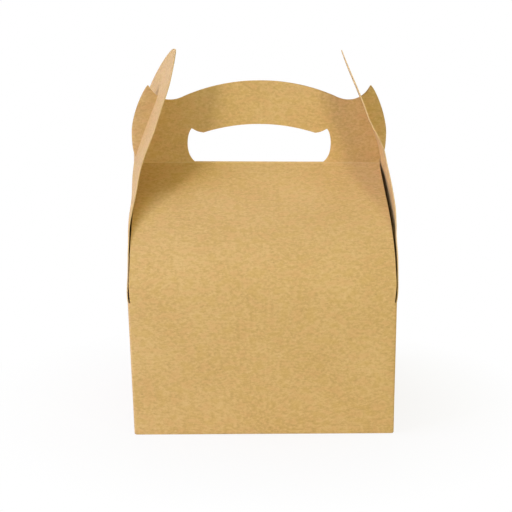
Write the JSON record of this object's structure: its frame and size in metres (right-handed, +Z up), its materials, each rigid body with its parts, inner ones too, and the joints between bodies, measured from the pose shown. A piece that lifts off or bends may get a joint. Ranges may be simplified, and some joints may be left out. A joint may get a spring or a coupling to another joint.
{
  "type": "tall cake box",
  "caption": "Tall square kraft cake carton with a curved roof, an upright carrying handle and two pointed side flaps that hook over its horns.",
  "frame": {"origin": "middle of the box's underside, on the surface that it stands on", "axes": "+Z up, front wall towards -Y, handle and ridge along X, a lock flap on each side in X"},
  "size_m": [0.1372, 0.13, 0.1885],
  "materials": {
    "kraft_board": "unbleached brown kraft board, matte, with a fine mottle"
  },
  "bodies": {
    "box": {"carton": "kraft_board"},
    "left_flap": {"left_lock_flap": "kraft_board"},
    "right_flap": {"right_lock_flap": "kraft_board"}
  },
  "joints": [
    {"name": "left_flap_fold", "type": "hinge", "parent": "box", "child": "left_flap", "pos_m": [-0.065, 0, 0.06715], "axis": [0, -1, 0], "range_deg": [0, 105]},
    {"name": "right_flap_fold", "type": "hinge", "parent": "box", "child": "right_flap", "pos_m": [0.065, 0, 0.06715], "axis": [0, 1, 0], "range_deg": [0, 105]}
  ]
}
